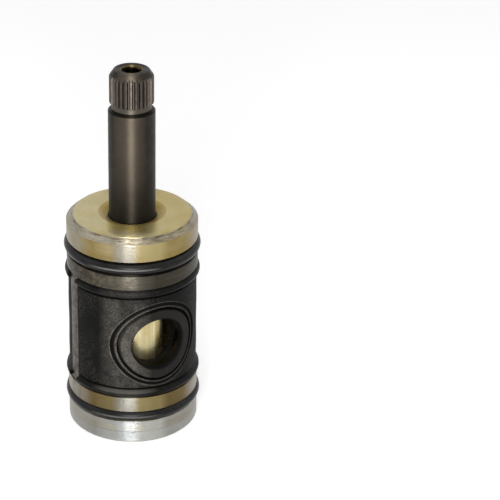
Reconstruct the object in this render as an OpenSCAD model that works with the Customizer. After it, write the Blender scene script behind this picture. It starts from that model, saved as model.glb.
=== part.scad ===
// Two-way diverter cartridge for a shower or bath valve.
// Z runs up along the stem and z = 0 is the bottom face of the body.
// The front outlet port looks along -Y and the rear port along +Y.

/* [Body] */
// Outside diameter of the collars and lands
body_d = 28.6; // [27:0.1:31]
// Height of the collar below the lower body O-ring
lower_collar_h = 5.5; // [4.4:0.1:7]
// Height of the land between the lower O-ring and the seal pockets
lower_land_h = 3.5; // [2:0.1:5]
// Height of the two seal pockets
pocket_h = 26.5; // [25.3:0.1:30]
// Height of the land between the seal pockets and the upper O-ring
upper_land_h = 3.2; // [2:0.1:5]
// Height of the collar above the upper body O-ring
upper_collar_h = 5.45; // [4:0.05:8]
// Width of the bevel round the top face
top_bevel_w = 1.5; // [0.5:0.02:2]
// Height of the bevel round the top face
top_bevel_h = 1.4; // [0.5:0.05:1.6]
// Width of the gently sloping rim between the bevel and the top face
rim_w = 1.2; // [0.1:0.05:1.5]
// How far the rim slopes down
rim_drop = 0.14; // [0.05:0.01:0.3]
// Width of the bevel round the bottom face
bottom_bevel_w = 0.6; // [0.3:0.05:1.2]
// Height of the bevel round the bottom face
bottom_bevel_h = 0.6; // [0.3:0.05:1.4]
// Small chamfer on the edges of lands and grooves
edge_break = 0.15; // [0.05:0.01:0.3]
// Diameter of the shallow dish round the stem
dish_d = 14.4; // [13:0.1:18]
// Depth of the dish
dish_depth = 0.8; // [0.3:0.05:1.5]

/* [Seal pockets and ports] */
// Depth of the pockets below the collars
pocket_depth = 1.62; // [1.4:0.02:1.9]
// How far the two ribs between the pockets lie below the collars
rib_drop = 0.3; // [0.1:0.05:0.6]
// Width of the ribs
rib_w = 3.4; // [2:0.1:6]
// Radius of the pockets' corners at the ribs
pocket_corner_r = 1; // [0.4:0.1:2]
// Diameter of the ports in the metal wall
port_d = 12; // [10:0.1:13]
// How far the ports lie below the middle of the pockets
port_drop = 0.6; // [0:0.05:0.8]
// Width of the rim of a port seat
seat_w = 1.6; // [1.2:0.1:2]
// Radial thickness of the port seats
seat_t = 1.3; // [0.9:0.05:1.6]

/* [Saddle seals] */
// Thickness of the rubber saddles
saddle_t = 1.42; // [1.2:0.02:1.6]
// How far the rim of a saddle's opening stands in front of the port all round
mouth_step = 0.2; // [0.1:0.05:0.8]
// Width of the chamfer round the opening
mouth_chamfer = 0.45; // [0.1:0.05:0.8]
// Width of the raised lip round the opening
lip_w = 2.45; // [1.2:0.05:2.6]
// How far the lip stands above the saddle
lip_proud = 0.12; // [0:0.02:0.3]
// Width of the deep groove round the lip
deep_groove_w = 0.5; // [0.3:0.05:0.7]
// Depth of the deep groove
deep_groove_depth = 1; // [0.5:0.05:1.2]
// Width of the round ridge outside the deep groove
ridge_w = 0.5; // [0.3:0.05:0.7]
// Width of the shallow groove round the ridge
outer_groove_w = 0.75; // [0.3:0.05:0.9]
// Depth of the shallow groove
outer_groove_depth = 0.45; // [0.1:0.05:0.8]
// Radius of the sealing bead along the top and bottom edges
bead_r = 0.85; // [0.6:0.05:1]
// How far the beads stand above the saddle
bead_proud = 0.7; // [0.3:0.05:0.8]
// Gap from the pocket's edge to a bead
bead_inset = 0.3; // [0.1:0.05:0.8]
// Width of the groove beside each bead
bead_groove_w = 0.4; // [0.2:0.05:0.9]
// Depth of the groove beside each bead
bead_groove_depth = 0.5; // [0.2:0.05:0.9]

/* [Body O-rings] */
// Thickness of the upper body O-ring's cord
upper_oring_sect = 2.62; // [2.4:0.02:2.7]
// Thickness of the lower body O-ring's cord
lower_oring_sect = 2.4; // [2.2:0.02:2.7]
// How far the body O-rings stand above the collars
body_oring_proud = 0.6; // [0.3:0.05:0.8]
// How much wider than its cord the upper groove is
upper_groove_play = 0.78; // [0.04:0.02:1]
// How much wider than its cord the lower groove is
lower_groove_play = 0.05; // [0.04:0.01:0.6]

/* [Stem] */
// Outside diameter of the handle spline
spline_d = 9.52; // [8.6:0.02:10.4]
// Width of the shoulder by which the shank is thicker than the spline
shoulder_w = 0.3; // [0.1:0.02:0.6]
// How much thicker the stem's journal in the neck is than the shank
journal_extra = 0.4; // [0.3:0.05:0.6]
// Height of the stem above the body
stem_rise = 32.9; // [26:0.1:50]
// Number of spline teeth
spline_teeth = 28; // [18:1:40]
// Share of the pitch that the crest of a tooth takes
crest_share = 0.32; // [0.2:0.02:0.5]
// Share of the pitch that the foot of a tooth takes
foot_share = 0.72; // [0.6:0.02:0.9]
// Depth of the spline teeth
tooth_depth = 0.36; // [0.2:0.02:0.5]
// Length of the spline, bevel included
spline_len = 7.6; // [5:0.1:12]
// Width of the crown bevel
crown_bevel_w = 0.96; // [0.3:0.02:1.2]
// Height of the crown bevel
crown_bevel_h = 1.4; // [0.5:0.05:2]
// Height of the bevel at the lower ends of the teeth
tooth_bevel_h = 0.4; // [0.2:0.05:0.8]
// How much deeper than the spline's roots the relief below it is
relief_step = 0.1; // [0.04:0.02:0.6]
// Length of the relief
relief_len = 1.2; // [0.6:0.1:3]
// Chamfer at the top of the shank
shank_chamfer = 0.4; // [0.1:0.05:0.6]
// Diameter of the handle screw hole
screw_hole_d = 3.65; // [2.8:0.05:4.2]
// Chamfer at the mouth of the screw hole
screw_chamfer = 0.2; // [0.1:0.05:0.4]
// Depth of the handle screw hole
screw_hole_depth = 12; // [8:0.5:18]
// Width of the rim by which the thrust hub is wider than the neck's bore
hub_rim_w = 1.48; // [1.2:0.02:2]
// Thickness of the thrust hub
hub_t = 1.9; // [1.4:0.1:2.4]
// Width of the drive tongue
tongue_w = 4.6; // [3:0.1:6]
// Distance from the ends of the drive tongue to the rotor's rim
tongue_end_gap = 2; // [0.6:0.1:4]
// Height of the drive tongue
tongue_h = 2.3; // [1.4:0.1:2.6]

/* [Stem O-rings] */
// Thickness of the stem O-ring cord
stem_oring_sect = 1.6; // [1.4:0.05:1.8]
// How much wider than the cord the stem O-ring grooves are
stem_groove_play = 0.4; // [0.2:0.05:0.6]
// Height of the lower stem O-ring above the neck's lower end
stem_oring_lift = 3.2; // [2.2:0.1:3.6]
// Distance between the two stem O-rings
stem_oring_pitch = 4; // [3.4:0.1:4.6]

/* [Rotor] */
// Wall of the half shell
rotor_wall = 2.2; // [1.6:0.1:2.6]
// How far the window reaches past the ports, above and below
window_over = 1.6; // [1:0.1:2]
// How far the bore of the foot is set back from the retainer ring's bore
foot_step = 0.15; // [0:0.05:0.4]
// Thickness of the rotor's foot ring
foot_t = 2.4; // [1.6:0.1:4]
// Thickness of the rotor's head above the window
head_t = 3.6; // [3.4:0.1:4.4]

/* [Stops] */
// Diameter of the stop pin
stop_pin_d = 1.9; // [1.5:0.1:2]
// Gap between the stop pin and the thrust hub
stop_pin_gap = 0.35; // [0.1:0.05:0.5]
// Radial room for the stop round the thrust hub
stop_room = 2.54; // [2.4:0.02:3]
// Depth of the stop pin in the body
stop_pin_grip = 4; // [2:0.1:6]
// Angle that the stem turns between its stops
turn_total = 180; // [90:1:200]
// Direction of the middle of the half shell as pictured
rest_angle = 198.4; // [110:0.1:260]

/* [Retainer ring] */
// Width of the shoulder in the body that the retainer ring is screwed against
ring_shoulder_w = 1.34; // [1:0.02:1.6]
// Thickness of the retainer ring
ring_t = 4.2; // [3.4:0.1:5]
// Depth of the ring below the bottom face
ring_inset = 0.2; // [0:0.05:0.6]
// Bore of the retainer ring
ring_bore_d = 12.9; // [11.4:0.1:14]
// Chamfer on the ring's visible edges
ring_chamfer = 0.35; // [0.1:0.05:0.6]
// Width of the spanner slot
slot_w = 2.3; // [1.6:0.1:3]
// Wall left between the ends of the spanner slot and the ring's rim
slot_end_wall = 1.25; // [0.6:0.05:2.5]
// Depth of the spanner slot
slot_depth = 2; // [1:0.1:2.6]
// Direction of the spanner slot
slot_angle = -31; // [-90:1:90]
// Diameter of the staking marks that lock the ring
stake_d = 2.4; // [1.5:0.1:2.6]
// Depth of the staking marks
stake_depth = 0.7; // [0.3:0.05:1]

/* [Washers and spring] */
// Thickness of the stem thrust washer
stem_washer_t = 0.6; // [0.4:0.05:1]
// Thickness of the rotor thrust washer
rotor_washer_t = 0.7; // [0.5:0.05:1]
// Fitted height of the wave spring
spring_h = 2.4; // [1.8:0.1:3]
// Thickness of the spring strip
spring_t = 0.4; // [0.3:0.05:0.5]
// Width of the spring strip
spring_w = 1.8; // [1.2:0.1:2]
// Number of waves in the spring
spring_waves = 3; // [3:1:5]

/* [Clearances] */
// Radial clearance of the rotor in the chamber
rotor_clear = 0.08; // [0.04:0.01:0.1]
// Radial clearance of the journal in the neck
journal_clear = 0.06; // [0.04:0.01:0.1]
// Clearance round fixed seals and inserts
fit_clear = 0.02; // [0.01:0.01:0.05]
// Axial play of the turning pieces
end_play = 0.05; // [0.02:0.01:0.1]
// Clearance at the sides of the drive tongue
tongue_clear = 0.04; // [0.02:0.01:0.1]
// Angle left between the stop pin and the stop at each end
stop_clear = 0.3; // [0.1:0.05:1]

/* [Hidden] */
$fn = 96;
eps = 0.01;
cut = 1;
body_r = body_d / 2;
upper_groove_w = upper_oring_sect + upper_groove_play;
lower_groove_w = lower_oring_sect + lower_groove_play;
z_lower_groove = lower_collar_h;
z_lower_land = z_lower_groove + lower_groove_w;
z_pocket = z_lower_land + lower_land_h;
z_upper_land = z_pocket + pocket_h;
z_upper_groove = z_upper_land + upper_land_h;
z_upper_collar = z_upper_groove + upper_groove_w;
body_len = z_upper_collar + upper_collar_h;
port_z = z_pocket + pocket_h / 2 - port_drop;
port_r = port_d / 2;
seat_r = port_r + seat_w;
spline_r = spline_d / 2;
root_r = spline_r - tooth_depth;
relief_r = root_r - relief_step;
crown_r = spline_r - crown_bevel_w;
shank_r = spline_r + shoulder_w;
journal_r = shank_r + journal_extra / 2;
neck_r = journal_r + journal_clear;
hub_r = neck_r + hub_rim_w;
lug_r = hub_r + stop_room;
rotor_r = lug_r + 2 * rotor_clear;
chamber_r = rotor_r + rotor_clear;
pocket_floor_r = body_r - pocket_depth;
rib_r = body_r - rib_drop;
saddle_r = pocket_floor_r + saddle_t;
upper_oring_r = body_r + body_oring_proud - upper_oring_sect / 2;
lower_oring_r = body_r + body_oring_proud - lower_oring_sect / 2;
upper_floor_r = upper_oring_r - upper_oring_sect / 2 - fit_clear;
lower_floor_r = lower_oring_r - lower_oring_sect / 2 - fit_clear;
ring_seat_z = ring_inset + ring_t + fit_clear;
ring_hole_r = chamber_r + ring_shoulder_w;
ring_r = ring_hole_r - fit_clear;
ring_bore_r = ring_bore_d / 2;
foot_r = ring_bore_r + foot_step;
seat_outer_r = chamber_r + seat_t;
z_stem_top = body_len + stem_rise;
z_spline = z_stem_top - spline_len;
z_shoulder = z_spline - relief_len;
window_top = port_z + port_r + window_over;
window_bottom = port_z - port_r - window_over;
z_rotor_top = window_top + head_t;
z_hub = z_rotor_top + end_play;
z_hub_top = z_hub + hub_t;
z_ceiling = z_hub_top + end_play + stem_washer_t;
z_ring_top = ring_inset + ring_t;
z_washer = z_ring_top + spring_h;
z_rotor = z_washer + rotor_washer_t + end_play;
stem_groove_w = stem_oring_sect + stem_groove_play;
stem_oring_r = neck_r - fit_clear - stem_oring_sect / 2;
stem_groove_r = stem_oring_r - stem_oring_sect / 2 - fit_clear;
z_lower_stem_oring = z_ceiling + stem_oring_lift;
z_upper_stem_oring = z_lower_stem_oring + stem_oring_pitch;
stop_pin_r = hub_r + stop_pin_gap + stop_pin_d / 2;
pin_half_angle = asin(stop_pin_d / 2 / stop_pin_r);
lug_angle = 360 - turn_total - 2 * (pin_half_angle + stop_clear);
mouth_r = port_r - mouth_step;
lip_r = mouth_r + lip_w;
ridge_r = lip_r + deep_groove_w + ridge_w;
bead_centre_r = saddle_r + bead_proud - bead_r;
bead_height = bead_inset + bead_r;
spring_mid_r = (ring_bore_r + chamber_r) / 2;
spring_steps = 48;

// A washer or tube that stands on height z
module tube(z, h, r_out, r_in) {
    translate([0, 0, z])
        difference() {
            cylinder(h = h, r = r_out);
            translate([0, 0, -cut]) cylinder(h = h + 2 * cut, r = r_in);
        }
}

// An O-ring of cord diameter sect whose cord runs at radius r
module oring(z, r, sect) {
    translate([0, 0, z])
        rotate_extrude()
            translate([r, 0]) circle(d = sect);
}

// A round bar along -Y through the front port, from the axis outwards
module port_bar(r) {
    translate([0, 0, port_z])
        rotate([90, 0, 0]) cylinder(h = body_d, r = r);
}

// A tube along -Y round the front port
module port_tube(r_out, r_in) {
    difference() {
        port_bar(r_out);
        translate([0, cut, port_z])
            rotate([90, 0, 0]) cylinder(h = body_d + 2 * cut, r = r_in);
    }
}

// A cylindrical wall that reaches past the pockets above and below
module pocket_wall_band(r_out, r_in) {
    tube(z_pocket - cut, pocket_h + 2 * cut, r_out, r_in);
}

// The front pocket seen along the X axis, gap smaller all round, with rounded corners at the ribs
module pocket_outline(gap) {
    reach = body_d - rib_w / 2 - gap;
    low = z_pocket + gap;
    high = z_upper_land - gap;
    translate([-body_d, low]) square([reach - pocket_corner_r, high - low]);
    translate([-body_d, low + pocket_corner_r]) square([reach, high - low - 2 * pocket_corner_r]);
    for (z = [low + pocket_corner_r, high - pocket_corner_r])
        translate([reach - body_d - pocket_corner_r, z]) circle(r = pocket_corner_r);
}

// Everything inside the front pocket's outline
module pocket_block(gap) {
    translate([-body_d, 0, 0])
        rotate([90, 0, 90])
            linear_extrude(height = 2 * body_d) pocket_outline(gap);
}

// One land of the body's outline, its edges broken
function land(r, z0, z1) = [
    [r - edge_break, z0], [r, z0 + edge_break], [r, z1 - edge_break], [r - edge_break, z1]
];

module body_turned() {
    rotate_extrude()
        polygon(concat(
            [[ring_hole_r, 0], [body_r - bottom_bevel_w, 0], [body_r, bottom_bevel_h]],
            [[body_r, z_lower_groove - edge_break], [body_r - edge_break, z_lower_groove]],
            [[lower_floor_r, z_lower_groove], [lower_floor_r, z_lower_land]],
            land(body_r, z_lower_land, z_pocket),
            [[rib_r, z_pocket], [rib_r, z_upper_land]],
            land(body_r, z_upper_land, z_upper_groove),
            [[upper_floor_r, z_upper_groove], [upper_floor_r, z_upper_collar]],
            [[body_r - edge_break, z_upper_collar], [body_r, z_upper_collar + edge_break]],
            [[body_r, body_len - top_bevel_h], [body_r - top_bevel_w, body_len - rim_drop]],
            [[body_r - top_bevel_w - rim_w, body_len]],
            [[dish_d / 2, body_len], [neck_r, body_len - dish_depth], [neck_r, z_ceiling]],
            [[chamber_r, z_ceiling], [chamber_r, ring_seat_z], [ring_hole_r, ring_seat_z]]
        ));
}

// Conical punch marks over the edge of the retainer ring
module stakes() {
    for (side = [0, 180])
        rotate([0, 0, side])
            translate([ring_r + stake_d / 4, 0, -eps])
                cylinder(h = stake_depth + ring_inset, d1 = stake_d, d2 = stake_d / 4);
}

module body() {
    color("gold")
        difference() {
            body_turned();
            for (side = [0, 180])
                rotate([0, 0, side]) {
                    intersection() {
                        pocket_wall_band(body_r + cut, pocket_floor_r);
                        pocket_block(0);
                    }
                    port_bar(port_r);
                    intersection() {
                        port_bar(seat_r + fit_clear);
                        cylinder(h = body_len, r = seat_outer_r + fit_clear);
                    }
                }
            translate([stop_pin_r, 0, z_ceiling - cut])
                cylinder(h = stop_pin_grip + cut, d = stop_pin_d);
            stakes();
        }
}

// Spline teeth with flat crests, as one outline
function spline_points(r_tip, r_root, teeth) = [
    for (i = [0 : teeth - 1])
        for (corner = [
            [-foot_share, r_root], [-crest_share, r_tip], [crest_share, r_tip], [foot_share, r_root]
        ])
            let (a = (i + corner[0] / 2) * 360 / teeth)
            corner[1] * [cos(a), sin(a)]
];

// The spline, bevelled at both ends by cones that run on past the teeth
module spline() {
    cone_r = spline_r + cut;
    cone_h = crown_bevel_h * (cone_r - crown_r) / crown_bevel_w;
    start_r = relief_r - relief_step;
    start_h = tooth_bevel_h * (cone_r - start_r) / (spline_r - start_r);
    intersection() {
        translate([0, 0, z_spline - cut])
            linear_extrude(height = spline_len + 2 * cut)
                polygon(spline_points(spline_r, root_r, spline_teeth));
        rotate_extrude()
            polygon([
                [0, z_spline], [start_r, z_spline], [cone_r, z_spline + start_h],
                [cone_r, z_stem_top - cone_h], [crown_r, z_stem_top], [0, z_stem_top]
            ]);
    }
}

// The part of the stem that is turned: relief, shank, journal with O-ring grooves, thrust hub
module stem_turned() {
    rotate_extrude()
        polygon([
            [0, z_hub], [lug_r, z_hub], [lug_r, z_hub_top], [journal_r, z_hub_top],
            [journal_r, z_lower_stem_oring - stem_groove_w / 2],
            [stem_groove_r, z_lower_stem_oring - stem_groove_w / 2],
            [stem_groove_r, z_lower_stem_oring + stem_groove_w / 2],
            [journal_r, z_lower_stem_oring + stem_groove_w / 2],
            [journal_r, z_upper_stem_oring - stem_groove_w / 2],
            [stem_groove_r, z_upper_stem_oring - stem_groove_w / 2],
            [stem_groove_r, z_upper_stem_oring + stem_groove_w / 2],
            [journal_r, z_upper_stem_oring + stem_groove_w / 2],
            [journal_r, body_len], [shank_r, body_len],
            [shank_r, z_shoulder - shank_chamfer], [shank_r - shank_chamfer, z_shoulder],
            [relief_r, z_shoulder], [relief_r, z_spline + eps], [0, z_spline + eps]
        ]);
}

// The space cut from the rim of the thrust hub. What is left is the stop, on the side of the half shell
module stop_gap() {
    rotate([0, 0, rest_angle + lug_angle / 2])
        rotate_extrude(angle = 360 - lug_angle)
            translate([hub_r, z_hub - cut]) square([lug_r - hub_r + cut, hub_t + 2 * cut]);
}

module drive_tongue(clear = 0) {
    half_w = tongue_w / 2 + clear;
    half_len = rotor_r - tongue_end_gap + clear;
    rotate([0, 0, rest_angle])
        translate([-half_w, -half_len, z_hub - tongue_h - clear])
            cube([2 * half_w, 2 * half_len, tongue_h + clear + cut]);
}

module screw_hole() {
    mouth_r = screw_hole_d / 2 + screw_chamfer;
    translate([0, 0, z_stem_top - screw_hole_depth])
        cylinder(h = screw_hole_depth + cut, d = screw_hole_d);
    translate([0, 0, z_stem_top - screw_chamfer])
        cylinder(h = screw_chamfer + cut, r1 = screw_hole_d / 2, r2 = mouth_r + cut);
}

module stem() {
    color("dimgray")
        difference() {
            union() {
                stem_turned();
                spline();
                drive_tongue();
            }
            stop_gap();
            screw_hole();
        }
}

// The rotor is an upturned cup with one half of its wall cut away at the ports
module rotor() {
    inner_r = rotor_r - rotor_wall;
    color("khaki")
        difference() {
            rotate_extrude()
                polygon([
                    [foot_r, z_rotor], [rotor_r, z_rotor], [rotor_r, z_rotor_top],
                    [0, z_rotor_top], [0, window_top], [inner_r, window_top],
                    [inner_r, z_rotor + foot_t], [foot_r, z_rotor + foot_t]
                ]);
            rotate([0, 0, rest_angle + 90])
                translate([-body_d, 0, window_bottom])
                    cube([2 * body_d, body_d, window_top - window_bottom]);
            drive_tongue(tongue_clear);
        }
}

module retainer_ring() {
    color("goldenrod")
        difference() {
            rotate_extrude()
                polygon([
                    [ring_bore_r, ring_inset + ring_chamfer],
                    [ring_bore_r + ring_chamfer, ring_inset],
                    [ring_r - ring_chamfer, ring_inset],
                    [ring_r, ring_inset + ring_chamfer],
                    [ring_r, z_ring_top], [ring_bore_r, z_ring_top]
                ]);
            rotate([0, 0, slot_angle])
                translate([slot_end_wall - ring_r, -slot_w / 2, ring_inset - cut])
                    cube([2 * (ring_r - slot_end_wall), slot_w, slot_depth + cut]);
            stakes();
        }
}

module stop_pin() {
    color("silver")
        translate([stop_pin_r, 0, z_hub + end_play])
            cylinder(h = z_ceiling - z_hub - end_play + stop_pin_grip, d = stop_pin_d);
}

// Rubber bead along one edge of a saddle
module saddle_bead(z) {
    oring(z, bead_centre_r, 2 * bead_r);
}

// The groove beside a bead, on the side towards the port
module bead_groove(z, side) {
    h = bead_r + bead_groove_w;
    tube(side > 0 ? z : z - h, h, body_r + cut, saddle_r - bead_groove_depth);
}

module port_saddle() {
    z_low_bead = z_pocket + bead_height;
    z_high_bead = z_upper_land - bead_height;
    difference() {
        intersection() {
            union() {
                difference() {
                    pocket_wall_band(saddle_r, pocket_floor_r + fit_clear);
                    bead_groove(z_low_bead, 1);
                    bead_groove(z_high_bead, -1);
                    intersection() {
                        port_tube(ridge_r + outer_groove_w, ridge_r);
                        pocket_wall_band(body_r + cut, saddle_r - outer_groove_depth);
                    }
                }
                saddle_bead(z_low_bead);
                saddle_bead(z_high_bead);
                intersection() {
                    port_bar(lip_r);
                    pocket_wall_band(saddle_r + lip_proud, pocket_floor_r + fit_clear);
                }
            }
            pocket_block(fit_clear);
        }
        port_bar(mouth_r);
        translate([0, mouth_chamfer - saddle_r - lip_proud, port_z])
            rotate([90, 0, 0])
                cylinder(h = body_r, r1 = mouth_r, r2 = mouth_r + body_r);
        intersection() {
            port_tube(lip_r + deep_groove_w, lip_r);
            pocket_wall_band(body_r + cut, saddle_r - deep_groove_depth);
        }
    }
}

module front_port_saddle() {
    color("black") port_saddle();
}

module rear_port_saddle() {
    color("black") rotate([0, 0, 180]) port_saddle();
}

// Rubber ring in the wall of the chamber that the half shell turns against
module port_seat() {
    intersection() {
        port_tube(seat_r, port_r);
        tube(z_pocket, pocket_h, seat_outer_r, chamber_r);
    }
}

module front_port_seat() {
    color("darkslategray") port_seat();
}

module rear_port_seat() {
    color("darkslategray") rotate([0, 0, 180]) port_seat();
}

module upper_body_oring() {
    color("black") oring(z_upper_groove + upper_groove_w / 2, upper_oring_r, upper_oring_sect);
}

module lower_body_oring() {
    color("black") oring(z_lower_groove + lower_groove_w / 2, lower_oring_r, lower_oring_sect);
}

module upper_stem_oring() {
    color("black") oring(z_upper_stem_oring, stem_oring_r, stem_oring_sect);
}

module lower_stem_oring() {
    color("black") oring(z_lower_stem_oring, stem_oring_r, stem_oring_sect);
}

module stem_thrust_washer() {
    color("white") tube(z_ceiling - stem_washer_t, stem_washer_t, hub_r, neck_r);
}

module rotor_thrust_washer() {
    color("white") tube(z_washer, rotor_washer_t, rotor_r, foot_r);
}

// Corners of the spring's strip where it has turned by angle a
function spring_section(a) =
    let (z = z_ring_top + spring_h / 2 + (spring_h - spring_t) / 2 * cos(spring_waves * a))
    [for (c = [[-1, -1], [1, -1], [1, 1], [-1, 1]])
        let (r = spring_mid_r + c[0] * spring_w / 2)
        [r * cos(a), r * sin(a), z + c[1] * spring_t / 2]];

module wave_spring() {
    color("silver")
        polyhedron(
            points = [for (i = [0 : spring_steps - 1]) each spring_section(i * 360 / spring_steps)],
            faces = [
                for (i = [0 : spring_steps - 1])
                    for (k = [0 : 3])
                        let (j = (i + 1) % spring_steps, m = (k + 1) % 4)
                        each [
                            [4 * i + k, 4 * j + k, 4 * j + m],
                            [4 * i + k, 4 * j + m, 4 * i + m]
                        ]
            ]
        );
}

body();
stem();
rotor();
retainer_ring();
stop_pin();
front_port_saddle();
rear_port_saddle();
front_port_seat();
rear_port_seat();
upper_body_oring();
lower_body_oring();
upper_stem_oring();
lower_stem_oring();
stem_thrust_washer();
rotor_thrust_washer();
wave_spring();
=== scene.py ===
"""Looks of a two-way diverter cartridge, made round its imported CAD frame. Drawing sizes are in mm."""

import contextlib
from functools import partial, reduce
from math import acos, asin, atan2, ceil, copysign, cos, exp, pi, radians, sin, sqrt, tan

import bmesh
import bpy
import numpy as np
from mathutils import Matrix, Vector


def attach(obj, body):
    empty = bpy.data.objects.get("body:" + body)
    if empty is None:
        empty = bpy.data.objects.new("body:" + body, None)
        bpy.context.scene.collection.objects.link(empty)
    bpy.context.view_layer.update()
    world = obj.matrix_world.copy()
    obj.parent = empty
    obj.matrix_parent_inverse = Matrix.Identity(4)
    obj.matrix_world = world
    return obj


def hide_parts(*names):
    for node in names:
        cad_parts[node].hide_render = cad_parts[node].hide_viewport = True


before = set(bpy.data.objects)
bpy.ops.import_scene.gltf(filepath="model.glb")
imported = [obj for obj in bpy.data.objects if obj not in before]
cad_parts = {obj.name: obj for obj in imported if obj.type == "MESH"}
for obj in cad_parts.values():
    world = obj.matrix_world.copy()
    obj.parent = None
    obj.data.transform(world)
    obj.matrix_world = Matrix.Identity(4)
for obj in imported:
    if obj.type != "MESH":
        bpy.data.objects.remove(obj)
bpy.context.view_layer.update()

MM = 0.001
TURN = 2 * pi
# Points closer than these are one
WELD, TINY = 0.0005 * MM, 0.0001 * MM
# A reach past the whole body, for tools that cut right through
FAR = 20

# Body
BODY_R, BODY_LEN, BASE_R, FOOT_BEVEL = 14.3, 50.0, 13.7, 0.6
LOWER_GROOVE, LOWER_LAND, LOWER_FLOOR_R = 5.5, 7.95, 12.48
POCKET_LOW, POCKET_HIGH, POCKET_FLOOR_R, POCKET_CORNER = 11.45, 37.95, 12.68, 1.0
UPPER_GROOVE, UPPER_COLLAR, UPPER_FLOOR_R = 41.15, 44.55, 12.26
BEVEL_LOW, BEVEL_TOP, BEVEL_TOP_R, DENTS = 48.6, 49.86, 12.8, 190
RIM_R, DISH_R, DISH_LOW = 11.6, 7.2, 49.2
RIB_R, RIB_HALF = 14.0, 1.7
NECK_R, CHAMBER_R, CEILING = 5.32, 9.58, 37.9
PORT_Z, PORT_R = 24.1, 6.0
SEAT_R, SEAT_OUTER_R = 7.6, 10.88
RING_HOLE_R, RING_SEAT = 10.92, 4.42
PIN_R, PIN_X, PIN_LOW, PIN_TOP = 0.95, 8.1, 35.4, 41.9
STAKE_R, STAKE_TIP_R, STAKE_LOW, STAKE_TOP, STAKE_X = 1.49, 0.3, -0.3, 0.89, 11.5
# Gap between pieces that touch, and the rounding of turned edges and of grooves' floors
FIT, EDGE, FLOOR_EDGE = 0.02, 0.13, 0.05

# Saddle seals
SADDLE_R = 14.1
SADDLE_BACK_R = POCKET_FLOOR_R + FIT
SADDLE_EDGE, SQUARE_HALF = 0.14, 10.12
MOUTH_R, MOUTH_EDGE_R, LIP_R, LIP_PROUD = 5.8, 6.2, 8.2, 0.12
DEEP_GROOVE_R, DEEP_GROOVE_FLOOR = 8.8, 13.1
RIDGE_R, RINGS_R, OUTER_GROOVE_FLOOR = 9.25, 9.97, 13.65
BEAD_R, BEAD_CENTRE_R, BEAD_LOW = 0.85, 13.95, 12.6
BEAD_GROOVE_FLOOR, BEAD_GROOVE_W = 13.6, 0.4

# O-rings: radius of the cord, of the ring's middle, and height
UPPER_SEAL, LOWER_SEAL = (1.31, 13.59, 42.85), (1.2, 13.7, 6.725)
STEM_CORD_R, STEM_RING_R, LOWER_STEM_SEAL, UPPER_STEM_SEAL = 0.8, 4.5, 41.1, 45.1

# Stem and rotor
STEM_TOP, SPLINE_LOW, SHOULDER = 82.9, 75.3, 74.1
SPLINE_R, ROOT_R, RELIEF_R, CROWN_R = 4.76, 4.4, 4.3, 3.8
TEETH, CREST_SHARE, FOOT_SHARE = 28, 0.32, 0.72
SHANK_R, JOURNAL_R, JOURNAL_TOP, STEM_GROOVE_R, STEM_GROOVE_HALF = 5.06, 5.26, 48.9, 3.68, 1
HUB_LOW, HUB_TOP, HUB_R, STOP_R = 35.35, 37.25, 6.8, 9.34
# The stem's turned part starts inside the hub
STEM_LOW = HUB_LOW + 0.6
REST_ANGLE, STOP_ANGLE = 198.4, 165.9
SCREW_R, THREAD_ROOT_R, SCREW_DEPTH = 1.825, 2.2, 12.0
TONGUE_HALF_W, TONGUE_HALF_LEN, TONGUE_LOW, TONGUE_GAP, TONGUE_CORNER = 2.3, 7.5, 33.05, 0.04, 0.3
ROTOR_R, ROTOR_INNER_R, ROTOR_FOOT_R = 9.5, 7.3, 6.6
ROTOR_LOW, ROTOR_FOOT_TOP, ROTOR_TOP = 7.55, 9.95, 35.3
WINDOW_LOW, WINDOW_TOP = 16.5, 31.7
ROTOR_WASHER_LOW, ROTOR_WASHER_TOP, STEM_WASHER, WASHER_EDGE = 6.8, 7.5, 0.6, 0.08

# Retainer ring
RING_R, RING_BORE_R, RING_LOW, RING_TOP = 10.9, 6.45, 0.2, 4.4
SLOT_ANGLE, SLOT_HALF_LEN, SLOT_HALF_W, SLOT_DEPTH = -31, 9.65, 1.15, 2


# Outlines and meshes

def rounded(corners, steps=4):
    """The closed outline through (r, z, edge radius) corners, with its edges rounded."""
    out = []
    for i, (r, z, edge) in enumerate(corners):
        here = np.array((r, z), float)
        back = np.array(corners[i - 1][:2]) - here
        ahead = np.array(corners[(i + 1) % len(corners)][:2]) - here
        back_len, ahead_len = np.linalg.norm(back), np.linalg.norm(ahead)
        back, ahead = back / back_len, ahead / ahead_len
        half = acos(np.clip(back @ ahead, -1, 1)) / 2
        if edge == 0 or half > pi / 2 - 0.02:
            out.append(here)
            continue
        reach = min(edge / tan(half), 0.45 * back_len, 0.45 * ahead_len)
        radius = reach * tan(half)
        middle = back + ahead
        centre = here + middle / np.linalg.norm(middle) * radius / sin(half)
        first, last = here + back * reach - centre, here + ahead * reach - centre
        start = atan2(first[1], first[0])
        turn = (atan2(last[1], last[0]) - start + pi) % TURN - pi
        for k in range(steps + 1):
            a = start + turn * k / steps
            out.append(centre + radius * np.array((cos(a), sin(a))))
    return out


def oblong(x, y, edges, steps=4):
    """The outline of an oblong between the pairs x and y. Its edge radii start at the lower left."""
    corners = ((x[0], y[0]), (x[1], y[0]), (x[1], y[1]), (x[0], y[1]))
    return rounded([(*corner, edge) for corner, edge in zip(corners, edges)], steps)


def groove(wall_r, floor_r, low, high, edge=EDGE, floor_edge=FLOOR_EDGE):
    """The corners of a groove in a turned wall."""
    return [
        (wall_r, low, edge), (floor_r, low, floor_edge), (floor_r, high, floor_edge), (wall_r, high, edge),
    ]


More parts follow.
